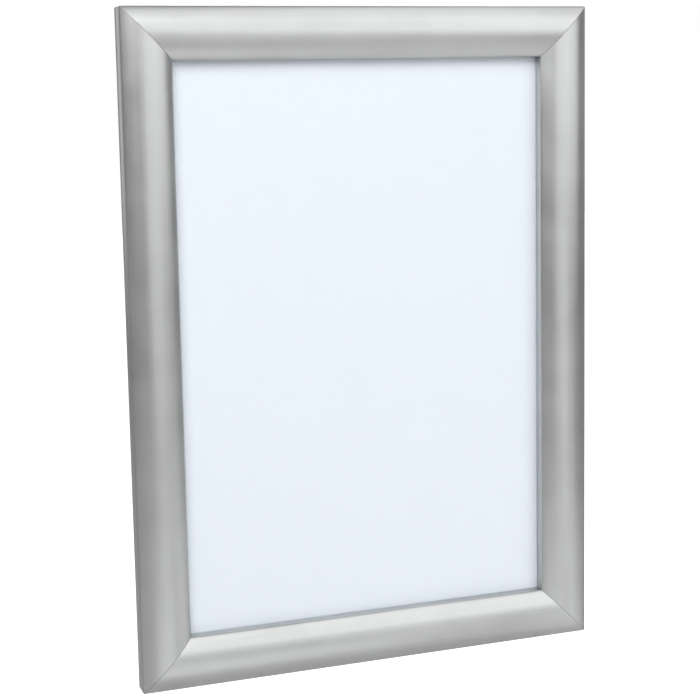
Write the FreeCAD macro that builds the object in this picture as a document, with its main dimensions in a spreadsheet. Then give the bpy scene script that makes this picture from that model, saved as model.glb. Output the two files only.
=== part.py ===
import FreeCAD, Part
import math
import os
from types import SimpleNamespace

import Sketcher
from FreeCAD import Placement, Rotation, Vector

# A wall-hung snap frame for one A4 poster. Four aluminium base bars are mitred into a rectangle by
# steel corner keys. A sprung cover rail hinges on the outer edge of each bar, and the four rails
# clamp a clear cover sheet, the poster and a backing panel against the bars.
#
# Row frame: the origin is the middle of the wall plane, +X is right, +Z is up, the front faces -Y.
# Section frame, used for everything that runs along a side: u goes inwards from the frame's outer
# edge, v goes forwards from the wall, and s runs along the bar from its middle.

SIZES = {
    # The sheets that the frame holds.
    "poster_width": 210.0,
    "poster_height": 297.0,
    "poster_thickness": 0.2,
    "panel_thickness": 1.0,
    "cover_thickness": 0.4,
    "edge_margin": 15.0,
    # The cover rail's section.
    "face_width": 25.0,
    "face_height": 12.0,
    "crown_inset": 11.6,
    "lip_drop": 4.4,
    "rail_wall": 1.2,
    "shoulder_radius": 1.5,
    "lip_radius": 0.4,
    "foot_clearance": 0.2,
    "rib_wall": 1.4,
    "rib_inset": 13.4,
    "rib_drop": 3.1,
    # The bead-and-cup hinge along the outer edge.
    "hinge_setback": 0.1,
    "bead_radius": 0.95,
    "hinge_clearance": 0.05,
    "cup_wall": 0.7,
    "cup_lower_end": 224.0,
    "cup_upper_end": 88.5,
    "neck_wall": 0.5,
    "skin_clearance": 0.2,
    "bead_end_clearance": 0.2,
    # The base bar's section.
    "floor_thickness": 0.8,
    "floor_setback": 0.6,
    "seat_wall": 2.0,
    "seat_height": 4.9,
    "retainer_wall": 0.9,
    "retainer_overhang": 1.0,
    "retainer_thickness": 0.8,
    "pocket_clearance": 0.8,
    # The corners.
    "corner_radius": 1.5,
    "mitre_clearance": 0.06,
    "key_thickness": 1.5,
    "key_clearance": 0.2,
    "key_leg": 34.0,
    "key_chamfer": 1.5,
    # The bowed leaf springs, two to a side.
    "spring_thickness": 0.5,
    "spring_length": 28.0,
    "spring_clearance": 0.5,
    "groove_radius": 0.45,
    "groove_depth": 0.35,
    "groove_lip": 0.3,
    "spring_offset_short": 48.0,
    "spring_offset_long": 66.0,
    # The wall fixings.
    "screw_hole_radius": 2.5,
    "screw_spacing": 207.0,
}


class Size:
    """A number together with the sheet expression that gives it, so that it can drive a property."""

    def __init__(self, value, text=None):
        self.value = float(value)
        self.text = text or repr(float(value))

    def joined(self, sign, other, value):
        return Size(value, f"({self.text} {sign} {other.text})")

    def __add__(self, other):
        other = size(other)
        return self.joined("+", other, self.value + other.value)

    def __sub__(self, other):
        other = size(other)
        return self.joined("-", other, self.value - other.value)

    def __mul__(self, other):
        other = size(other)
        return self.joined("*", other, self.value * other.value)

    def __truediv__(self, other):
        other = size(other)
        return self.joined("/", other, self.value / other.value)


def size(item):
    return item if isinstance(item, Size) else Size(item)


def square_root(item):
    return Size(math.sqrt(item.value), f"sqrt({item.text})")


def cosine(degrees):
    return Size(math.cos(math.radians(degrees.value)), f"cos({degrees.text} * 1deg)")


def sine(degrees):
    return Size(math.sin(math.radians(degrees.value)), f"sin({degrees.text} * 1deg)")


def make_sheet(doc):
    """Write every driving size into the spreadsheet and return them by name."""
    sheet = doc.addObject("Spreadsheet::Sheet", "Sizes")
    for row, (name, value) in enumerate(SIZES.items(), start=1):
        sheet.set(f"A{row}", name)
        sheet.set(f"B{row}", str(value))
        sheet.setAlias(f"B{row}", name)
    doc.recompute()
    return SimpleNamespace(**{name: Size(sheet.get(name), f"Sizes.{name}") for name in SIZES})


# Sketches and features ---------------------------------------------------------------------------

VERTICAL_AXIS = -2
HORIZONTAL_AXIS = -1
START, END, CENTRE = 1, 2, 3
SAME_SPOT = 1e-4


def drive(sketch, constraint, amount):
    index = sketch.addConstraint(constraint)
    sketch.setExpression(f"Constraints[{index}]", amount.text)


def pin(sketch, edge, point, across, up):
    """Hold one point of a sketch at its two coordinates."""
    for kind, axis, amount in (("DistanceX", VERTICAL_AXIS, across), ("DistanceY", HORIZONTAL_AXIS, up)):
        if amount.text == "0.0":
            sketch.addConstraint(Sketcher.Constraint("PointOnObject", edge, point, axis))
        else:
            ends = (HORIZONTAL_AXIS, START, edge, point)
            drive(sketch, Sketcher.Constraint(kind, *ends, amount.value), amount)


def arc_between(begin, finish, radius):
    """The short arc from begin to finish: anticlockwise for a positive radius, else clockwise."""
    chord = finish - begin
    left = Vector(-chord.y, chord.x, 0).normalize()
    reach = math.sqrt(radius * radius - chord.Length ** 2 / 4)
    centre = begin + chord / 2 + left * math.copysign(reach, radius)
    if radius < 0:
        begin, finish = finish, begin
    first = math.atan2(begin.y - centre.y, begin.x - centre.x)
    last = math.atan2(finish.y - centre.y, finish.x - centre.x)
    return Part.ArcOfCircle(Part.Circle(centre, Vector(0, 0, 1), abs(radius)), first, last)


def draw_outline(sketch, corners):
    """Close an outline through (u, v) corners; a third item is the radius of the arc that follows."""
    first = sketch.GeometryCount
    corners = [[size(item) for item in corner] for corner in corners]
    points = [Vector(corner[0].value, corner[1].value, 0) for corner in corners]
    ends = []
    for corner, begin, finish in zip(corners, points, points[1:] + points[:1]):
        if len(corner) == 2:
            sketch.addGeometry(Part.LineSegment(begin, finish))
            ends.append((START, END))
        else:
            sketch.addGeometry(arc_between(begin, finish, corner[2].value))
            ends.append((START, END) if corner[2].value > 0 else (END, START))
    for offset, (corner, (near, far)) in enumerate(zip(corners, ends)):
        following = (offset + 1) % len(corners)
        link = (first + offset, far, first + following, ends[following][0])
        sketch.addConstraint(Sketcher.Constraint("Coincident", *link))
        pin(sketch, first + offset, near, corner[0], corner[1])
        if len(corner) == 3:
            turn = corner[2] if corner[2].value > 0 else corner[2] * -1
            drive(sketch, Sketcher.Constraint("Radius", first + offset, turn.value), turn)


def draw_circle(sketch, centre, radius):
    across, up = size(centre[0]), size(centre[1])
    ring = Part.Circle(Vector(across.value, up.value, 0), Vector(0, 0, 1), radius.value)
    edge = sketch.addGeometry(ring)
    pin(sketch, edge, CENTRE, across, up)
    drive(sketch, Sketcher.Constraint("Radius", edge, radius.value), radius)


def new_sketch(body, name, plane="XY_Plane"):
    sketch = body.newObject("Sketcher::SketchObject", name)
    face = next(item for item in body.Origin.OriginFeatures if item.Role == plane)
    sketch.AttachmentSupport = [(face, "")]
    sketch.MapMode = "FlatFace"
    return sketch


def pad(body, sketch, length, side="Symmetric"):
    feature = body.newObject("PartDesign::Pad", f"{sketch.Name}Pad")
    feature.Profile = sketch
    feature.SideType = side
    feature.setExpression("Length", length.text)
    return feature


def pocket(body, sketch):
    """Cut the sketch right through the body, both ways from its plane."""
    feature = body.newObject("PartDesign::Pocket", f"{sketch.Name}Pocket")
    feature.Profile = sketch
    feature.Type = "ThroughAll"
    feature.SideType = "Symmetric"
    return feature


def round_edge(body, name, across, up, radius):
    """Round the edge that runs along the bar through one (u, v) spot."""
    body.Document.recompute()
    solid = body.Tip
    names = []
    for number, edge in enumerate(solid.Shape.Edges, start=1):
        misses = [math.hypot(vertex.X - across.value, vertex.Y - up.value) for vertex in edge.Vertexes]
        if max(misses) < SAME_SPOT:
            names.append(f"Edge{number}")
    fillet = body.newObject("PartDesign::Fillet", name)
    fillet.Base = (solid, names)
    fillet.setExpression("Radius", radius.text)


def new_body(doc, node):
    body = doc.addObject("PartDesign::Body", node)
    body.Label = node
    return body


def place(piece, position, rotation=None):
    """Put a piece at three sizes, X, Y and Z, which stay bound to the sheet."""
    offsets = [size(item) for item in position]
    where = Vector(*[item.value for item in offsets])
    piece.Placement = Placement(where, rotation or Rotation())
    for axis, item in zip("xyz", offsets):
        if item.text != "0.0":
            piece.setExpression(f"Placement.Base.{axis}", item.text)


# Where things are in the section -----------------------------------------------------------------


def work_out(dims):
    """Add the places and sizes that follow from the driving ones."""
    dims.frame_width = dims.poster_width + dims.edge_margin * 2
    dims.frame_height = dims.poster_height + dims.edge_margin * 2
    dims.hinge_inset = dims.rail_wall + dims.hinge_setback
    dims.bore_radius = dims.bead_radius + dims.hinge_clearance
    dims.cup_radius = dims.bore_radius + dims.cup_wall
    dims.hinge = (dims.hinge_inset, dims.cup_radius)
    dims.skin_start = dims.cup_radius * 2 + dims.skin_clearance

    dims.poster_back = dims.floor_thickness + dims.panel_thickness
    dims.cover_back = dims.poster_back + dims.poster_thickness
    dims.foot_height = dims.cover_back + dims.cover_thickness + dims.foot_clearance
    dims.lip_height = dims.face_height - dims.lip_drop
    crown_reach = dims.face_width - dims.crown_inset
    dims.face_radius = (crown_reach * crown_reach / dims.lip_drop + dims.lip_drop) / 2
    dims.face_centre = dims.face_height - dims.face_radius
    dims.inner_radius = dims.face_radius - dims.rail_wall
    dims.rib_height = dims.face_height - dims.rail_wall - dims.rib_drop
    dims.rib_far_side = dims.rib_inset + dims.rib_wall

    dims.floor_width = dims.face_width - dims.floor_setback
    dims.seat_near_side = dims.hinge_inset + dims.bore_radius + dims.cup_wall / 2
    dims.seat_far_side = dims.seat_near_side + dims.seat_wall
    dims.seat_middle = (dims.seat_near_side + dims.seat_far_side) / 2
    dims.retainer_far_side = dims.edge_margin - dims.pocket_clearance
    dims.retainer_near_side = dims.retainer_far_side - dims.retainer_wall
    dims.channel_middle = (dims.seat_far_side + dims.retainer_near_side) / 2
    dims.retainer_under = dims.floor_thickness + dims.key_thickness + dims.key_clearance
    dims.retainer_height = dims.retainer_under + dims.retainer_thickness

    spring_seat_rise = dims.groove_radius - dims.groove_depth
    dims.base_groove = (dims.seat_middle, dims.seat_height + spring_seat_rise)
    rail_groove_height = dims.rib_height + dims.groove_lip + dims.groove_radius
    dims.rail_groove = (dims.rib_inset - spring_seat_rise, rail_groove_height)


def on_arc(dims, radius, across):
    """Height of a circle about the face's centre at a distance in from the outer edge."""
    offset = across - dims.crown_inset
    return dims.face_centre + square_root(radius * radius - offset * offset)


SIDES = {
    "top": Vector(0, 0, -1),
    "right": Vector(-1, 0, 0),
    "bottom": Vector(0, 0, 1),
    "left": Vector(1, 0, 0),
}
FORWARD = Vector(0, -1, 0)


def is_short(side):
    return side in ("top", "bottom")


def place_on_side(dims, piece, side, shift=None):
    """Turn a piece drawn in the section frame onto its side, moved along the bar by shift."""
    inward = SIDES[side]
    along = inward.cross(FORWARD)
    reach = (dims.frame_height if is_short(side) else dims.frame_width) / 2
    position = []
    for into, run in zip(inward, along):
        if into:
            position.append(reach * -into)
        elif run and shift:
            position.append(shift * run)
        else:
            position.append(0)
    place(piece, position, Rotation(inward, FORWARD, along, "ZXY"))


def bar_length(dims, side):
    return dims.frame_width if is_short(side) else dims.frame_height


def cut_mitres(dims, body, side, clearance):
    """Cut both ends of a bar at 45 degrees and round the frame's outer corners."""
    sketch = new_sketch(body, "Mitre", "XZ_Plane")
    end = bar_length(dims, side) / 2 - clearance
    spare = dims.corner_radius
    round_start = end - dims.corner_radius
    corner_step = dims.corner_radius * (1 - math.sqrt(0.5))
    far = dims.face_width + spare
    for way in (1, -1):
        draw_outline(sketch, [
            (spare * -1, (end + spare) * way),
            (spare * -1, round_start * way),
            (0, round_start * way, dims.corner_radius * -way),
            (corner_step, (end - corner_step) * way),
            (far, (end - far) * way),
            (far, (end + spare) * way),
        ])
    pocket(body, sketch)


# The pieces --------------------------------------------------------------------------------------


def make_base(doc, dims, side):
    """Base bar: a floor on the wall, the hinge cup, the spring seat and the corner-key channel."""
    body = new_body(doc, f"base_{side}")
    length = bar_length(dims, side)
    hinge_u, hinge_v = dims.hinge

    section = new_sketch(body, "Section")
    outer_hook = dims.seat_far_side + dims.retainer_overhang
    inner_hook = dims.retainer_near_side - dims.retainer_overhang
    draw_outline(section, [
        (hinge_u, 0),
        (dims.floor_width, 0),
        (dims.floor_width, dims.floor_thickness),
        (dims.retainer_far_side, dims.floor_thickness),
        (dims.retainer_far_side, dims.retainer_height),
        (inner_hook, dims.retainer_height),
        (inner_hook, dims.retainer_under),
        (dims.retainer_near_side, dims.retainer_under),
        (dims.retainer_near_side, dims.floor_thickness),
        (dims.seat_far_side, dims.floor_thickness),
        (dims.seat_far_side, dims.retainer_under),
        (outer_hook, dims.retainer_under),
        (outer_hook, dims.retainer_height),
        (dims.seat_far_side, dims.retainer_height),
        (dims.seat_far_side, dims.seat_height),
        (dims.seat_near_side, dims.seat_height),
        (dims.seat_near_side, dims.floor_thickness),
        (hinge_u, dims.floor_thickness),
    ])
    pad(body, section, length)

    cup = new_sketch(body, "Cup")
    draw_circle(cup, dims.hinge, dims.cup_radius)
    pad(body, cup, length)

    bore = new_sketch(body, "Bore")
    draw_circle(bore, dims.hinge, dims.bore_radius)
    pocket(body, bore)

    mouth = new_sketch(body, "Mouth")
    reach = dims.cup_radius * 2
    upper = (hinge_u + reach * cosine(dims.cup_upper_end), hinge_v + reach * sine(dims.cup_upper_end))
    lower = (hinge_u + reach * cosine(dims.cup_lower_end), hinge_v + reach * sine(dims.cup_lower_end))
    draw_outline(mouth, [dims.hinge, upper, (lower[0], upper[1]), lower])
    pocket(body, mouth)

    groove = new_sketch(body, "Groove")
    draw_circle(groove, dims.base_groove, dims.groove_radius)
    pocket(body, groove)

    cut_mitres(dims, body, side, Size(0))
    if not is_short(side):
        holes = new_sketch(body, "ScrewHoles", "XZ_Plane")
        for way in (1, -1):
            draw_circle(holes, (dims.channel_middle, dims.screw_spacing / 2 * way), dims.screw_hole_radius)
        pocket(body, holes)
    place_on_side(dims, body, side)
    return body


def make_rail(doc, dims, side):
    """Cover rail: the domed face, its leg onto the cover sheet, a spring rib and the hinge bead."""
    body = new_body(doc, f"rail_{side}")
    length = bar_length(dims, side)
    hinge_u, hinge_v = dims.hinge
    leg = dims.face_width - dims.rail_wall
    shoulder = on_arc(dims, dims.face_radius, Size(0))

    skin = new_sketch(body, "Skin")
    draw_outline(skin, [
        (0, dims.skin_start),
        (0, shoulder, dims.face_radius * -1),
        (dims.face_width, dims.lip_height),
        (dims.face_width, dims.foot_height),
        (leg, dims.foot_height),
        (leg, on_arc(dims, dims.inner_radius, leg), dims.inner_radius),
        (dims.rib_far_side, on_arc(dims, dims.inner_radius, dims.rib_far_side)),
        (dims.rib_far_side, dims.rib_height),
        (dims.rib_inset, dims.rib_height),
        (dims.rib_inset, on_arc(dims, dims.inner_radius, dims.rib_inset), dims.inner_radius),
        (dims.rail_wall, on_arc(dims, dims.inner_radius, dims.rail_wall)),
        (dims.rail_wall, dims.skin_start),
    ])
    pad(body, skin, length)
    round_edge(body, "Shoulder", Size(0), shoulder, dims.shoulder_radius)
    round_edge(body, "Lip", dims.face_width, dims.lip_height, dims.lip_radius)

    # The bead and its neck stop short of the mitres, so that they clear the next rails as they turn.
    bead_length = length - (hinge_u + dims.bead_radius + dims.bead_end_clearance) * 2
    neck = new_sketch(body, "Neck")
    draw_outline(neck, [
        (dims.rail_wall - dims.neck_wall, hinge_v),
        (dims.rail_wall, hinge_v),
        (dims.rail_wall, dims.skin_start),
        (dims.rail_wall - dims.neck_wall, dims.skin_start),
    ])
    pad(body, neck, bead_length)

    bead = new_sketch(body, "Bead")
    draw_circle(bead, dims.hinge, dims.bead_radius)
    pad(body, bead, bead_length)

    groove = new_sketch(body, "Groove")
    draw_circle(groove, dims.rail_groove, dims.groove_radius)
    pocket(body, groove)

    cut_mitres(dims, body, side, dims.mitre_clearance)
    place_on_side(dims, body, side)
    return body


def make_spring(doc, dims, side, end, way):
    """Leaf spring: a bowed strip of spring steel between the base's groove and the rail's."""
    body = new_body(doc, f"spring_{side}_{end}")
    foot_u, foot_v = dims.base_groove
    head_u, head_v = dims.rail_groove
    run = head_u - foot_u
    climb = head_v - foot_v
    chord = square_root(run * run + climb * climb)

    # The bow bulges into the dome until it is the named clearance away from the dome's inner arc.
    # Its centre lies a drop behind the chord's middle, and the drop solves a quadratic.
    middle_u = (foot_u + head_u) / 2 - dims.crown_inset
    middle_v = (foot_v + head_v) / 2 - dims.face_centre
    rise = (middle_v * run - middle_u * climb) / chord
    room = dims.inner_radius - dims.spring_clearance - dims.spring_thickness / 2
    quarter = chord * chord / 4
    excess = (middle_u * middle_u + middle_v * middle_v - room * room - quarter) / 2
    square_term = rise * rise - room * room
    bend = square_root(excess * excess + square_term * quarter) * room
    drop = (excess * rise + bend) / square_term
    radius = square_root(quarter + drop * drop)
    centre_u = (foot_u + head_u) / 2 + climb * drop / chord
    centre_v = (foot_v + head_v) / 2 - run * drop / chord

    def offset(place_u, place_v, amount):
        share = amount / radius
        return place_u + (place_u - centre_u) * share, place_v + (place_v - centre_v) * share

    half = dims.spring_thickness / 2
    inner = half * -1
    strip = new_sketch(body, "Strip")
    draw_outline(strip, [
        (*offset(foot_u, foot_v, half), (radius + half) * -1),
        offset(head_u, head_v, half),
        (*offset(head_u, head_v, inner), radius - half),
        offset(foot_u, foot_v, inner),
    ])
    pad(body, strip, dims.spring_length)
    shift = dims.spring_offset_short if is_short(side) else dims.spring_offset_long
    place_on_side(dims, body, side, shift * way)
    return body


def make_corner_key(doc, dims, node, across, up, rotation):
    """Corner key: a flat steel angle that slides into the channels of two base bars."""
    body = new_body(doc, node)
    near = dims.seat_far_side + dims.key_clearance
    wide = dims.retainer_near_side - dims.key_clearance
    tip = near + dims.key_leg
    cut = dims.key_chamfer
    angle = new_sketch(body, "Angle")
    draw_outline(angle, [
        (near + cut, near),
        (tip - cut, near),
        (tip, near + cut),
        (tip, wide - cut),
        (tip - cut, wide),
        (wide, wide),
        (wide, tip - cut),
        (wide - cut, tip),
        (near + cut, tip),
        (near, tip - cut),
        (near, near + cut),
    ])
    pad(body, angle, dims.key_thickness, "One side")
    corner = (dims.frame_width / 2 * across, dims.floor_thickness * -1, dims.frame_height / 2 * up)
    place(body, corner, rotation)
    return body


def make_layer(doc, dims, node, thickness, back):
    """One flat sheet of the stack that the rails clamp, cut to the poster's size."""
    layer = doc.addObject("Part::Box", node)
    layer.Label = node
    layer.setExpression("Length", dims.poster_width.text)
    layer.setExpression("Width", thickness.text)
    layer.setExpression("Height", dims.poster_height.text)
    front = (back + thickness) * -1
    place(layer, (dims.poster_width / -2, front, dims.poster_height / -2))
    return layer


CORNERS = {
    "top_left": (-1, 1, "top", "left"),
    "top_right": (1, 1, "right", "top"),
    "bottom_right": (1, -1, "bottom", "right"),
    "bottom_left": (-1, -1, "left", "bottom"),
}
SPRING_ENDS = {
    "top": ("left", "right"),
    "right": ("upper", "lower"),
    "bottom": ("right", "left"),
    "left": ("lower", "upper"),
}


def build(doc):
    """Make every piece of the frame and return the objects that are written out."""
    dims = make_sheet(doc)
    work_out(dims)
    pieces = []
    for side, (first_end, last_end) in SPRING_ENDS.items():
        pieces.append(make_base(doc, dims, side))
        pieces.append(make_rail(doc, dims, side))
        pieces.append(make_spring(doc, dims, side, first_end, 1))
        pieces.append(make_spring(doc, dims, side, last_end, -1))
    for corner, (across, up, first_side, second_side) in CORNERS.items():
        turn = Rotation(SIDES[first_side], SIDES[second_side], FORWARD, "ZXY")
        pieces.append(make_corner_key(doc, dims, f"corner_key_{corner}", across, up, turn))
    pieces.append(make_layer(doc, dims, "back_panel", dims.panel_thickness, dims.floor_thickness))
    pieces.append(make_layer(doc, dims, "poster", dims.poster_thickness, dims.poster_back))
    pieces.append(make_layer(doc, dims, "cover_sheet", dims.cover_thickness, dims.cover_back))
    return pieces


def write_parts(doc, pieces):
    """Refuse a failed or broken object, then write one file for each piece."""
    for item in doc.Objects:
        if "Invalid" in item.State or "Error" in item.State:
            raise RuntimeError(f"{item.Name} failed: {item.State}")
    for piece in pieces:
        if piece.Shape.isNull() or not piece.Shape.isValid():
            raise RuntimeError(f"{piece.Label} has no valid shape")
    os.makedirs("parts", exist_ok=True)
    for piece in pieces:
        piece.Shape.exportStep(os.path.join("parts", f"{piece.Label}.step"))


document = FreeCAD.newDocument("SnapFrame")
all_pieces = build(document)
document.recompute()
write_parts(document, all_pieces)
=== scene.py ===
import math

import bmesh
import bpy
from mathutils import Matrix, Vector


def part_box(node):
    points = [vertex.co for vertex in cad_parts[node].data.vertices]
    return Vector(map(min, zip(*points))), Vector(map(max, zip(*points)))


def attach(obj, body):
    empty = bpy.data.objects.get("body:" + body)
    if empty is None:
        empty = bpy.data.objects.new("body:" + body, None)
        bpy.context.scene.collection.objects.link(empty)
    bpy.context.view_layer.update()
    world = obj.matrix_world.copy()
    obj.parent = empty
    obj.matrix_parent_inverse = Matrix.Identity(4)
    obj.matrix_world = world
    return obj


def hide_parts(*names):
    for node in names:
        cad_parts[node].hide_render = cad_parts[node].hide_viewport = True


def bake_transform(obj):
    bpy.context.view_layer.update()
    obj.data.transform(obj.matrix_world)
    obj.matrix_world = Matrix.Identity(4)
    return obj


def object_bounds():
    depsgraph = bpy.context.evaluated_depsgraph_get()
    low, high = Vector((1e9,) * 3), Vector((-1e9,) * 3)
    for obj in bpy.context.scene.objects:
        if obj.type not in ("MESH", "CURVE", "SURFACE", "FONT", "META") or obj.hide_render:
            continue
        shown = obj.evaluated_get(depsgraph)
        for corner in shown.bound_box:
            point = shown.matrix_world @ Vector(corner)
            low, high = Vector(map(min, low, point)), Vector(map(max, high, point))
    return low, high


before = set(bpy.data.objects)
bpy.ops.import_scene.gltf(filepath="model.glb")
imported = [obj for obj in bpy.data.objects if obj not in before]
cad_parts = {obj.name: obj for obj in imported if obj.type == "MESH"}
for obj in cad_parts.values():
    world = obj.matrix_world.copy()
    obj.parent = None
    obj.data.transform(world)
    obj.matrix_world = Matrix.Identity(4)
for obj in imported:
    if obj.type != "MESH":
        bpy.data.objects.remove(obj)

cad_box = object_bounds()


# Base bars --------------------------------------------------------------------------------------
# Four extruded aluminium bars lie flat on the wall, mitred and joined at the corners. Each carries
# the hinge cup, the spring seat and the channel for the corner keys. The die leaves fine lines
# along the bar, and the anodising leaves a fine even grain over them.

BAR_DIRECTIONS = {"top": "X", "right": "Z", "bottom": "X", "left": "Z"}
LINES_ACROSS = 1800.0
LINES_ALONG = 9.0
RELIEF_DEPTH = 0.00005


def extruded_finish():
    """The node group for anodised extrusions: die lines, fine grain and faint clouding."""
    group = bpy.data.node_groups.new("extruded_finish", "ShaderNodeTree")
    face = group.interface
    face.new_socket("Vector", in_out="INPUT", socket_type="NodeSocketVector")
    for name, start in (("Grain Scale", 2600.0), ("Line Strength", 0.3), ("Roughness Low", 0.3),
                        ("Roughness High", 0.45)):
        socket = face.new_socket(name, in_out="INPUT", socket_type="NodeSocketFloat")
        socket.default_value = start
    face.new_socket("Along", in_out="INPUT", socket_type="NodeSocketVector")
    face.new_socket("Shade", in_out="OUTPUT", socket_type="NodeSocketFloat")
    face.new_socket("Roughness", in_out="OUTPUT", socket_type="NodeSocketFloat")
    face.new_socket("Height", in_out="OUTPUT", socket_type="NodeSocketFloat")
    nodes, links = group.nodes, group.links
    given = nodes.new("NodeGroupInput")
    result = nodes.new("NodeGroupOutput")

    grain = nodes.new("ShaderNodeTexNoise")
    grain.inputs["Detail"].default_value = 3
    grain.inputs["Roughness"].default_value = 0.6
    links.new(given.outputs["Vector"], grain.inputs["Vector"])
    links.new(given.outputs["Grain Scale"], grain.inputs["Scale"])

    stretched = nodes.new("ShaderNodeVectorMath")
    stretched.operation = "MULTIPLY"
    links.new(given.outputs["Vector"], stretched.inputs[0])
    links.new(given.outputs["Along"], stretched.inputs[1])
    lines = nodes.new("ShaderNodeTexNoise")
    lines.inputs["Scale"].default_value = 1
    lines.inputs["Detail"].default_value = 2
    links.new(stretched.outputs[0], lines.inputs["Vector"])

    clouds = nodes.new("ShaderNodeTexNoise")
    clouds.inputs["Scale"].default_value = 45
    clouds.inputs["Detail"].default_value = 2
    links.new(given.outputs["Vector"], clouds.inputs["Vector"])

    surface = nodes.new("ShaderNodeMix")
    surface.data_type = "FLOAT"
    links.new(given.outputs["Line Strength"], surface.inputs["Factor"])
    links.new(grain.outputs["Fac"], surface.inputs["A"])
    links.new(lines.outputs["Fac"], surface.inputs["B"])
    links.new(surface.outputs["Result"], result.inputs["Height"])

    shade = nodes.new("ShaderNodeMix")
    shade.data_type = "FLOAT"
    shade.inputs["Factor"].default_value = 0.45
    links.new(surface.outputs["Result"], shade.inputs["A"])
    links.new(clouds.outputs["Fac"], shade.inputs["B"])
    links.new(shade.outputs["Result"], result.inputs["Shade"])

    rough = nodes.new("ShaderNodeMapRange")
    rough.inputs["From Min"].default_value = 0.3
    rough.inputs["From Max"].default_value = 0.7
    links.new(shade.outputs["Result"], rough.inputs["Value"])
    links.new(given.outputs["Roughness Low"], rough.inputs["To Min"])
    links.new(given.outputs["Roughness High"], rough.inputs["To Max"])
    links.new(rough.outputs["Result"], result.inputs["Roughness"])
    return group


finish_group = extruded_finish()


def blank_material(name, metallic):
    """A new material with its nodes, links, Principled shader and Object coordinates."""
    material = bpy.data.materials.new(name)
    material.use_nodes = True
    nodes, links = material.node_tree.nodes, material.node_tree.links
    shader = nodes["Principled BSDF"]
    shader.inputs["Metallic"].default_value = metallic
    place = nodes.new("ShaderNodeTexCoord").outputs["Object"]
    return material, nodes, links, shader, place


def colour_between(nodes, links, shader, pattern, dark, light, start, stop):
    """Colour a shader from dark to light as a pattern rises from start to stop."""
    tone = nodes.new("ShaderNodeValToRGB")
    first, last = tone.color_ramp.elements
    first.position, first.color = start, (*dark, 1)
    last.position, last.color = stop, (*light, 1)
    links.new(pattern, tone.inputs["Fac"])
    links.new(tone.outputs["Color"], shader.inputs["Base Color"])


def raise_relief(nodes, links, shader, pattern, strength, depth):
    """Turn a pattern into fine relief on a shader."""
    relief = nodes.new("ShaderNodeBump")
    relief.inputs["Strength"].default_value = strength
    relief.inputs["Distance"].default_value = depth
    links.new(pattern, relief.inputs["Height"])
    links.new(relief.outputs["Normal"], shader.inputs["Normal"])


def anodised(name, direction, dark, light, roughness, line_strength, bump):
    """Anodised aluminium whose die lines run along one axis of the frame."""
    material, nodes, links, metal, place = blank_material(name, 1.0)
    surface = nodes.new("ShaderNodeGroup")
    surface.node_tree = finish_group
    surface.inputs["Roughness Low"].default_value = roughness[0]
    surface.inputs["Roughness High"].default_value = roughness[1]
    surface.inputs["Line Strength"].default_value = line_strength
    surface.inputs["Along"].default_value = (
        LINES_ALONG if direction == "X" else LINES_ACROSS,
        LINES_ACROSS,
        LINES_ALONG if direction == "Z" else LINES_ACROSS,
    )
    links.new(place, surface.inputs["Vector"])
    colour_between(nodes, links, metal, surface.outputs["Shade"], dark, light, 0.32, 0.68)
    links.new(surface.outputs["Roughness"], metal.inputs["Roughness"])
    raise_relief(nodes, links, metal, surface.outputs["Height"], bump, RELIEF_DEPTH)
    return material


base_finishes = {
    direction: anodised(f"base_extrusion_along_{direction.lower()}", direction,
                        dark=(0.56, 0.575, 0.575), light=(0.7, 0.715, 0.715),
                        roughness=(0.34, 0.46), line_strength=0.6, bump=0.5)
    for direction in ("X", "Z")
}
for side, direction in BAR_DIRECTIONS.items():
    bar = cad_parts[f"base_{side}"]
    bar.data.materials.clear()
    bar.data.materials.append(base_finishes[direction])


# Corner keys ------------------------------------------------------------------------------------
# Flat angles stamped from steel sheet, zinc plated. They slide into the channels of two base bars
# and hold the mitre shut. The plating has pale and dull patches with a slightly blue cast.


def mottling():
    """The node group for patchy surfaces: one noise moves tone, gloss and relief together."""
    group = bpy.data.node_groups.new("mottling", "ShaderNodeTree")
    face = group.interface
    face.new_socket("Vector", in_out="INPUT", socket_type="NodeSocketVector")
    for name in ("Scale", "Detail", "Distortion", "Roughness Low", "Roughness High"):
        face.new_socket(name, in_out="INPUT", socket_type="NodeSocketFloat")
    for name in ("Pattern", "Roughness"):
        face.new_socket(name, in_out="OUTPUT", socket_type="NodeSocketFloat")
    nodes, links = group.nodes, group.links
    given = nodes.new("NodeGroupInput")
    result = nodes.new("NodeGroupOutput")
    patches = nodes.new("ShaderNodeTexNoise")
    for name in ("Vector", "Scale", "Detail", "Distortion"):
        links.new(given.outputs[name], patches.inputs[name])
    links.new(patches.outputs["Fac"], result.inputs["Pattern"])
    rough = nodes.new("ShaderNodeMapRange")
    links.new(patches.outputs["Fac"], rough.inputs["Value"])
    links.new(given.outputs["Roughness Low"], rough.inputs["To Min"])
    links.new(given.outputs["Roughness High"], rough.inputs["To Max"])
    links.new(rough.outputs["Result"], result.inputs["Roughness"])
    return group


mottling_group = mottling()


def mottled(name, metallic, dark, light, spread, roughness, scale, detail, distortion=0.0,
            bump=0.0, depth=RELIEF_DEPTH):
    """A material in two close tones, patchy in gloss and, where bump is given, in relief."""
    material, nodes, links, shader, place = blank_material(name, metallic)
    surface = nodes.new("ShaderNodeGroup")
    surface.node_tree = mottling_group
    surface.inputs["Scale"].default_value = scale
    surface.inputs["Detail"].default_value = detail
    surface.inputs["Distortion"].default_value = distortion
    surface.inputs["Roughness Low"].default_value = roughness[0]
    surface.inputs["Roughness High"].default_value = roughness[1]
    links.new(place, surface.inputs["Vector"])
    colour_between(nodes, links, shader, surface.outputs["Pattern"], dark, light, *spread)
    links.new(surface.outputs["Roughness"], shader.inputs["Roughness"])
    if bump:
        raise_relief(nodes, links, shader, surface.outputs["Pattern"], bump, depth)
    return material


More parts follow.
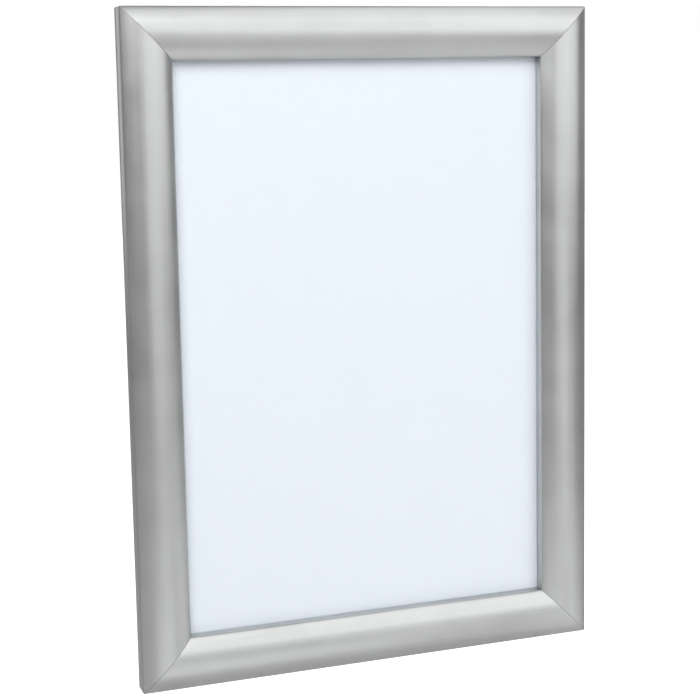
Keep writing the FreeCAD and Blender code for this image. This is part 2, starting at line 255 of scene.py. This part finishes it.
zinc = mottled("zinc_plate", 1.0, dark=(0.46, 0.49, 0.53), light=(0.66, 0.69, 0.72),
               spread=(0.35, 0.65), roughness=(0.28, 0.52), scale=260, detail=4,
               distortion=0.6, bump=0.25)
for key_corner in ("top_left", "top_right", "bottom_right", "bottom_left"):
    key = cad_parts[f"corner_key_{key_corner}"]
    key.data.materials.clear()
    key.data.materials.append(zinc)


# Back panel, poster and cover sheet -------------------------------------------------------------
# Three loose sheets cut to the poster's size and clamped by the rails. The backing is white
# styrene, the poster is blank paper, and the cover is clear matt polyester against glare.

AIR = Vector((0, 0.000015, 0))
STIFF_CORNER = 0.0015
PAPER_CORNER = 0.0005
BROKEN_EDGE = 0.2  # of the sheet's thickness
SMOOTH_UP_TO = math.radians(32)
SHEET_SPREAD = (0.3, 0.7)
FILM_COVERAGE = 0.18


def cut_sheet(node, corner_radius):
    """A flat sheet with rounded corners and broken edges, and a film of air on each face.

    The sheets lie on one another, so without the air their faces would share a plane.
    """
    low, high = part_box(node)
    size = high - low - 2 * AIR
    bm = bmesh.new()
    bmesh.ops.create_cube(bm, size=1)
    bmesh.ops.scale(bm, vec=size, verts=bm.verts)
    bmesh.ops.translate(bm, vec=(low + high) / 2, verts=bm.verts)
    upright = [e for e in bm.edges if abs(e.verts[0].co.y - e.verts[1].co.y) > size.y / 2]
    bmesh.ops.bevel(bm, geom=upright, offset=corner_radius, affect="EDGES", segments=4,
                    profile=0.5, material=-1)
    flats = [f for f in bm.faces if abs(f.normal.y) > 0.9]
    rims = list({e for f in flats for e in f.edges})
    bmesh.ops.bevel(bm, geom=rims, offset=size.y * BROKEN_EDGE, affect="EDGES",
                    segments=1, profile=0.5, material=-1)
    return bm


def finished(bm, name, material):
    """Turn a bmesh into a linked object with its material and shading."""
    mesh = bpy.data.meshes.new(name)
    bm.to_mesh(mesh)
    bm.free()
    mesh.shade_smooth()
    mesh.set_sharp_from_angle(angle=SMOOTH_UP_TO)
    mesh.materials.append(material)
    piece = bpy.data.objects.new(name, mesh)
    bpy.context.scene.collection.objects.link(piece)
    return piece


styrene = mottled("styrene_sheet", 0.0, dark=(0.80, 0.81, 0.81), light=(0.86, 0.87, 0.87),
                  spread=SHEET_SPREAD, roughness=(0.4, 0.55), scale=900, detail=4,
                  bump=0.25, depth=0.00003)
paper = mottled("blank_paper", 0.0, dark=(0.835, 0.877, 0.93), light=(0.841, 0.883, 0.935),
                spread=SHEET_SPREAD, roughness=(0.8, 0.9), scale=420, detail=4)
film = mottled("cover_film", 0.0, dark=(0.872, 0.922, 0.979), light=(0.878, 0.928, 0.984),
               spread=SHEET_SPREAD, roughness=(0.56, 0.6), scale=160, detail=4)
film.node_tree.nodes["Principled BSDF"].inputs["Alpha"].default_value = FILM_COVERAGE

panel = finished(cut_sheet("back_panel", STIFF_CORNER), "backing_sheet", styrene)
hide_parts("back_panel")
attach(panel, "root")
print_sheet = finished(cut_sheet("poster", PAPER_CORNER), "blank_poster", paper)
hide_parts("poster")
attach(print_sheet, "root")
cover = finished(cut_sheet("cover_sheet", STIFF_CORNER), "clear_cover", film)
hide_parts("cover_sheet")
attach(cover, "root")


# Cover rails ------------------------------------------------------------------------------------
# Four domed aluminium extrusions, mitred at the corners, bead blasted and anodised silver. Each
# has a leg that clamps the sheets, a rib with a groove for the springs, and a hinge bead. They are
# drawn in the section, in millimetres: u inward from the outer edge, v forward from the wall.

MILLIMETRE = 0.001
FACE_WIDTH = 25.0
CROWN_U = 11.6
CROWN_V = 12.0
FACE_RADIUS = 22.6045
RAIL_WALL = 1.2
FOOT_V = 2.6
SKIN_START = 3.6
RIB_NEAR = 13.4
RIB_FAR = 14.8
RIB_V = 7.7
GROOVE = (13.3, 8.45)
GROOVE_RADIUS = 0.45
HINGE = (1.3, 1.7)
BEAD_RADIUS = 0.95
NECK_NEAR = 0.7
BEAD_END_GAP = 2.45
MITRE_GAP = 0.06
TIP_RADIUS = 1.5
TIP_CUTS = 6
SHOULDER_BEVEL = 0.849
LIP_BEVEL = 0.202
EDGE_BREAK = 0.12
MITRE_BURR = 0.05
SAW_WASTE = 2.0
SAME_SPOT = 0.01
INWARD = {
    "top": Vector((0, 0, -1)),
    "right": Vector((-1, 0, 0)),
    "bottom": Vector((0, 0, 1)),
    "left": Vector((1, 0, 0)),
}


def section_to_frame(side):
    """The matrix from a side's section, in millimetres, to the frame, in metres."""
    inward, forward = INWARD[side], Vector((0, -1, 0))
    along = inward.cross(forward)
    low, high = cad_box
    reach = (high.z - low.z) / 2 if side in ("top", "bottom") else (high.x - low.x) / 2
    turn = Matrix((inward, forward, along)).transposed().to_4x4()
    return Matrix.Translation(inward * -reach) @ turn @ Matrix.Scale(MILLIMETRE, 4)


def bar_length(side):
    """Length in millimetres of the bars on one side."""
    low, high = cad_box
    return ((high.x - low.x) if side in ("top", "bottom") else (high.z - low.z)) / MILLIMETRE


def dome_v(radius, u):
    """The height of the dome's outer or inner arc at one place across the face."""
    return CROWN_V - FACE_RADIUS + math.sqrt(radius ** 2 - (u - CROWN_U) ** 2)


def corner(bm, u, v):
    """A vertex at one corner of the section."""
    return bm.verts.new((u, v, 0))


def swing(bm, start, centre, finish, steps, clockwise):
    """Spin one vertex round a centre to a finishing point, and return the last vertex."""
    first = math.atan2(start.co.y - centre[1], start.co.x - centre[0])
    last = math.atan2(finish[1] - centre[1], finish[0] - centre[0])
    turn = (first - last) % math.tau if clockwise else (last - first) % math.tau
    spun = bmesh.ops.spin(bm, geom=[start], cent=(*centre, 0), axis=(0, 0, 1), dvec=(0, 0, 0),
                          angle=-turn if clockwise else turn, steps=steps, use_merge=False,
                          use_duplicate=False)
    return next(item for item in spun["geom_last"] if isinstance(item, bmesh.types.BMVert))


def join(bm, begin, finish):
    """Join two vertices with an edge, and return the second."""
    bm.edges.new((begin, finish))
    return finish


def fill_and_extrude(bm, length):
    """Fill the closed outline and extrude it along the bar, centred on the middle."""
    bmesh.ops.contextual_create(bm, geom=bm.edges[:])
    bmesh.ops.translate(bm, vec=(0, 0, -length / 2), verts=bm.verts[:])
    pulled = bmesh.ops.extrude_face_region(bm, geom=bm.faces[:])
    ends = [item for item in pulled["geom"] if isinstance(item, bmesh.types.BMVert)]
    bmesh.ops.translate(bm, vec=(0, 0, length), verts=ends)
    bmesh.ops.recalc_face_normals(bm, faces=bm.faces[:])


def long_edges(bm, spots):
    """The edges that run along the bar through any of some (u, v) spots."""
    found = []
    for edge in bm.edges:
        begin, finish = (vert.co for vert in edge.verts)
        if abs(begin.z - finish.z) > 1 and any(
            math.hypot(begin.x - u, begin.y - v) < SAME_SPOT for u, v in spots
        ):
            found.append(edge)
    return found


def round_long_edges(bm, spots, offset, segments):
    """Round the edges that run along the bar through some (u, v) spots."""
    bmesh.ops.bevel(bm, geom=long_edges(bm, spots), offset=offset, affect="EDGES",
                    segments=segments, profile=0.5, material=-1)


def saw(bm, point, direction):
    """Cut away what lies beyond a plane, and close the cut."""
    cut = bmesh.ops.bisect_plane(bm, geom=bm.verts[:] + bm.edges[:] + bm.faces[:], dist=1e-5,
                                 plane_co=point, plane_no=direction, clear_outer=True)
    rim = [item for item in cut["geom_cut"] if isinstance(item, bmesh.types.BMEdge)]
    open_rim = [edge for edge in rim if edge.is_boundary]
    if open_rim:
        bmesh.ops.contextual_create(bm, geom=open_rim)


def rail_skin(length):
    """The domed skin with its leg and rib, cut to its mitres with rounded corner tips."""
    bm = bmesh.new()
    inner_radius = FACE_RADIUS - RAIL_WALL
    dome_centre = (CROWN_U, CROWN_V - FACE_RADIUS)
    leg = FACE_WIDTH - RAIL_WALL
    shoulder = (0, dome_v(FACE_RADIUS, 0))
    lip = (FACE_WIDTH, dome_v(FACE_RADIUS, FACE_WIDTH))
    first = corner(bm, 0, SKIN_START)
    last = join(bm, first, corner(bm, *shoulder))
    last = swing(bm, last, dome_centre, lip, 28, clockwise=True)
    last = join(bm, last, corner(bm, FACE_WIDTH, FOOT_V))
    last = join(bm, last, corner(bm, leg, FOOT_V))
    last = join(bm, last, corner(bm, leg, dome_v(inner_radius, leg)))
    far_root = (RIB_FAR, dome_v(inner_radius, RIB_FAR))
    last = swing(bm, last, dome_centre, far_root, 12, clockwise=False)
    last = join(bm, last, corner(bm, RIB_FAR, RIB_V))
    last = join(bm, last, corner(bm, RIB_NEAR, RIB_V))
    half = math.sqrt(GROOVE_RADIUS ** 2 - (RIB_NEAR - GROOVE[0]) ** 2)
    last = join(bm, last, corner(bm, RIB_NEAR, GROOVE[1] - half))
    last = swing(bm, last, GROOVE, (RIB_NEAR, GROOVE[1] + half), 8, clockwise=False)
    last = join(bm, last, corner(bm, RIB_NEAR, dome_v(inner_radius, RIB_NEAR)))
    near_root = (RAIL_WALL, dome_v(inner_radius, RAIL_WALL))
    last = swing(bm, last, dome_centre, near_root, 14, clockwise=False)
    last = join(bm, last, corner(bm, RAIL_WALL, SKIN_START))
    join(bm, last, first)
    fill_and_extrude(bm, length + SAW_WASTE)

    round_long_edges(bm, [shoulder], SHOULDER_BEVEL, 8)
    round_long_edges(bm, [lip], LIP_BEVEL, 4)
    edge_spots = [(FACE_WIDTH, FOOT_V), (leg, FOOT_V), (RIB_FAR, RIB_V), (RIB_NEAR, RIB_V),
                  (0, SKIN_START)]
    round_long_edges(bm, edge_spots, EDGE_BREAK, 2)

    end = length / 2 - MITRE_GAP
    for way in (1, -1):
        saw(bm, (0, 0, end * way), (1, 0, way))
        middle = Vector((TIP_RADIUS, 0, (end - TIP_RADIUS) * way))
        for step in range(TIP_CUTS):
            turn = math.radians(45 / TIP_CUTS * (step + 0.5))
            outward = Vector((-math.cos(turn), 0, math.sin(turn) * way))
            saw(bm, middle + outward * TIP_RADIUS, outward)
    return bm


def hinge_bead(length):
    """The bead and its neck, which stop straight, short of the mitres."""
    bm = bmesh.new()
    u, v = HINGE
    left_v = v + math.sqrt(BEAD_RADIUS ** 2 - (u - NECK_NEAR) ** 2)
    right_v = v + math.sqrt(BEAD_RADIUS ** 2 - (RAIL_WALL - u) ** 2)
    first = corner(bm, NECK_NEAR, SKIN_START)
    last = join(bm, first, corner(bm, NECK_NEAR, left_v))
    last = swing(bm, last, HINGE, (RAIL_WALL, right_v), 24, clockwise=False)
    last = join(bm, last, corner(bm, RAIL_WALL, SKIN_START))
    join(bm, last, first)
    fill_and_extrude(bm, length - BEAD_END_GAP * 2)
    return bm


def sawn_metal():
    """Bare aluminium on the sawn mitres, with the blade's fine marks across it."""
    material, nodes, links, metal, place = blank_material("sawn_mitre", 1.0)
    marks = nodes.new("ShaderNodeTexWave")
    marks.wave_type = "BANDS"
    marks.bands_direction = "Y"
    marks.inputs["Scale"].default_value = 700
    marks.inputs["Distortion"].default_value = 3
    marks.inputs["Detail"].default_value = 2
    links.new(place, marks.inputs["Vector"])
    colour_between(nodes, links, metal, marks.outputs["Fac"], (0.66, 0.67, 0.68),
                   (0.82, 0.83, 0.84), 0, 1)
    rough = nodes.new("ShaderNodeMapRange")
    rough.inputs["To Min"].default_value = 0.22
    rough.inputs["To Max"].default_value = 0.38
    links.new(marks.outputs["Fac"], rough.inputs["Value"])
    links.new(rough.outputs["Result"], metal.inputs["Roughness"])
    return material


def mitre_faces(bm):
    """The sawn faces at the two ends, which lie at 45 degrees across the bar."""
    return [f for f in bm.faces if f.normal.x > 0.5 and abs(f.normal.y) < 0.02
            and abs(abs(f.normal.x) - abs(f.normal.z)) < 0.02]


sawn = sawn_metal()
rail_finishes = {
    direction: anodised(f"silver_rail_along_{direction.lower()}", direction,
                        dark=(0.525, 0.536, 0.528), light=(0.61, 0.622, 0.614),
                        roughness=(0.29, 0.37), line_strength=0.4, bump=0.4)
    for direction in ("X", "Z")
}
for side, direction in BAR_DIRECTIONS.items():
    length = bar_length(side)
    bm = rail_skin(length)
    caps = mitre_faces(bm)
    rims = list({e for f in caps for e in f.edges})
    for cap in caps:
        cap.material_index = 1
    bmesh.ops.bevel(bm, geom=rims, offset=MITRE_BURR, affect="EDGES", segments=1,
                    profile=0.5, material=0)
    bead = hinge_bead(length)
    bead_mesh = bpy.data.meshes.new("bead")
    bead.to_mesh(bead_mesh)
    bead.free()
    bm.from_mesh(bead_mesh)
    bpy.data.meshes.remove(bead_mesh)
    bmesh.ops.transform(bm, matrix=section_to_frame(side), verts=bm.verts[:])
    rail = finished(bm, f"snap_rail_{side}", rail_finishes[direction])
    rail.data.materials.append(sawn)
    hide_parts(f"rail_{side}")
    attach(rail, f"rail_{side}")


# Leaf springs -----------------------------------------------------------------------------------
# Eight strips of spring steel, rolled to a bow and sprung in between the base bar's groove and the
# rail's. They push the rail shut or open past the middle. The steel is blue-grey and lightly oiled.
# The section's sizes are in millimetres, as the rails' are.

SPRING_FOOT = (3.65, 5.0)
SPRING_HEAD = (13.3, 8.45)
BOW_CENTRE = (9.444, 4.0147)
SPRING_THICKNESS = 0.5
SPRING_EDGE = 0.08
SPRINGS = {
    "top": ("left", "right"),
    "right": ("upper", "lower"),
    "bottom": ("left", "right"),
    "left": ("upper", "lower"),
}


def off_centre(spot, amount):
    """A spot moved away from the middle of the bow."""
    out = Vector(spot) - Vector(BOW_CENTRE)
    return Vector(spot) + out.normalized() * amount


def point_outwards(bm):
    """Turn an open strip's faces away from the middle of the bow."""
    bm.normal_update()
    for strip_face in bm.faces:
        out = strip_face.calc_center_median() - Vector((*BOW_CENTRE, 0))
        out.z = 0
        if strip_face.normal.dot(out) < 0:
            strip_face.normal_flip()


blued = mottled("rolled_spring_steel", 1.0, dark=(0.30, 0.32, 0.35), light=(0.45, 0.46, 0.49),
                spread=(0.35, 0.65), roughness=(0.2, 0.4), scale=340, detail=3)

for side, ends in SPRINGS.items():
    to_frame = section_to_frame(side)
    to_section = to_frame.inverted()
    for end in ends:
        node = f"spring_{side}_{end}"
        low, high = (to_section @ place_in_frame for place_in_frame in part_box(node))
        near, far = sorted((low.z, high.z))
        bm = bmesh.new()
        foot_u, foot_v = off_centre(SPRING_FOOT, SPRING_THICKNESS / 2)
        start = bm.verts.new((foot_u, foot_v, near))
        swing(bm, start, BOW_CENTRE, SPRING_HEAD, 24, clockwise=True)
        pulled = bmesh.ops.extrude_edge_only(bm, edges=bm.edges[:])
        edge_line = [item for item in pulled["geom"] if isinstance(item, bmesh.types.BMVert)]
        bmesh.ops.translate(bm, vec=(0, 0, far - near), verts=edge_line)
        bmesh.ops.recalc_face_normals(bm, faces=bm.faces[:])
        point_outwards(bm)
        bmesh.ops.solidify(bm, geom=bm.faces[:], thickness=SPRING_THICKNESS)
        bmesh.ops.recalc_face_normals(bm, faces=bm.faces[:])
        sharp = [e for e in bm.edges if e.calc_face_angle(0) > math.radians(60)]
        bmesh.ops.bevel(bm, geom=sharp, offset=SPRING_EDGE, affect="EDGES", segments=2,
                        profile=0.5, material=-1)
        bmesh.ops.transform(bm, matrix=to_frame, verts=bm.verts[:])
        spring = finished(bm, f"leaf_spring_{side}_{end}", blued)
        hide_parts(node)
        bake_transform(spring)


# Studio -----------------------------------------------------------------------------------------
# A plain pale floor below the frame, a surround that is white to the camera and dimmer in front of
# the frame than behind it, and square soft boxes. Each box has a place in metres, a width in metres
# and a power in watts, and points at the middle of the frame.

FLOOR_DROP = 0.25
FLOOR_REACH = 6
FRONT_LEVEL = 0.163
BACK_LEVEL = 0.671

low, high = cad_box
scene = bpy.context.scene
scene.view_settings.view_transform = "Standard"

bm = bmesh.new()
bmesh.ops.create_grid(bm, x_segments=1, y_segments=1, size=FLOOR_REACH)
bmesh.ops.translate(bm, vec=(0, 0, low.z - FLOOR_DROP), verts=bm.verts)
floor_mesh = bpy.data.meshes.new("floor")
bm.to_mesh(floor_mesh)
bm.free()
floor = bpy.data.objects.new("floor", floor_mesh)
scene.collection.objects.link(floor)
pale = bpy.data.materials.new("pale_floor")
pale.use_nodes = True
nodes, links = pale.node_tree.nodes, pale.node_tree.links
paint = nodes["Principled BSDF"]
paint.inputs["Base Color"].default_value = (0.5, 0.5, 0.5, 1)
paint.inputs["Roughness"].default_value = 0.9
paint.inputs["Emission Color"].default_value = (1, 1, 1, 1)
sight = nodes.new("ShaderNodeLightPath")
links.new(sight.outputs["Is Camera Ray"], paint.inputs["Emission Strength"])
floor_mesh.materials.append(pale)

surround = bpy.data.worlds.new("white_surround")
surround.use_nodes = True
scene.world = surround
nodes, links = surround.node_tree.nodes, surround.node_tree.links
backdrop = nodes["Background"]
backdrop.inputs["Color"].default_value = (1, 1, 1, 1)
sight = nodes.new("ShaderNodeLightPath")
heading = nodes.new("ShaderNodeTexCoord")
parts = nodes.new("ShaderNodeSeparateXYZ")
links.new(heading.outputs["Generated"], parts.inputs["Vector"])
room = nodes.new("ShaderNodeMapRange")
room.interpolation_type = "SMOOTHSTEP"
room.inputs["From Min"].default_value = -0.35
room.inputs["From Max"].default_value = 0.25
room.inputs["To Min"].default_value = FRONT_LEVEL
room.inputs["To Max"].default_value = BACK_LEVEL
links.new(parts.outputs["Y"], room.inputs["Value"])
seen = nodes.new("ShaderNodeMix")
seen.data_type = "FLOAT"
seen.inputs["B"].default_value = 1.0
links.new(sight.outputs["Is Camera Ray"], seen.inputs["Factor"])
links.new(room.outputs["Result"], seen.inputs["A"])
links.new(seen.outputs["Result"], backdrop.inputs["Strength"])

SOFT_BOXES = {
    "high_left": ((-0.655, -1.135, 0.918), 0.9, 12.0),
    "high_front": ((-0.359, -1.338, 0.8), 0.9, 4.28),
    "high_middle": ((0.293, -1.093, 1.131), 0.9, 1.52),
    "high_right": ((0.8, -0.8, 1.131), 0.9, 2.27),
    "upper_front": ((0.389, -1.452, 0.547), 0.9, 1.9),
    "upper_right": ((1.093, -1.093, 0.414), 0.9, 3.16),
    "level_front": ((0.414, -1.545, 0.056), 0.9, 1.6),
    "low_front": ((0.0, -0.321, -0.383), 0.36, 0.194),
    "low_middle": ((0.302, -0.36, -0.171), 0.28, 0.0557),
    "low_right": ((0.332, -0.192, -0.321), 0.28, 0.0792),
    "rear": ((0.4, 1.35, 0.6), 0.9, 6.0),
}
for name, (position, width, power) in SOFT_BOXES.items():
    lamp = bpy.data.lights.new(name, "AREA")
    lamp.shape = "SQUARE"
    lamp.size = width
    lamp.energy = power
    box = bpy.data.objects.new(name, lamp)
    box.location = position
    box.rotation_euler = (-Vector(position)).to_track_quat("-Z", "Y").to_euler()
    box.visible_camera = False
    scene.collection.objects.link(box)

lens = bpy.data.cameras.new("camera")
lens.sensor_width = 36
lens.lens = 79.1
lens.shift_x = 0.0488
lens.shift_y = -0.0632
lens.clip_start = 0.01
camera = bpy.data.objects.new("camera", lens)
camera.location = (-0.27061, -0.70975, 0.11441)
camera.rotation_euler = [math.radians(turn) for turn in (82.7365, 1.20546, -19.26944)]
scene.collection.objects.link(camera)
scene.camera = camera
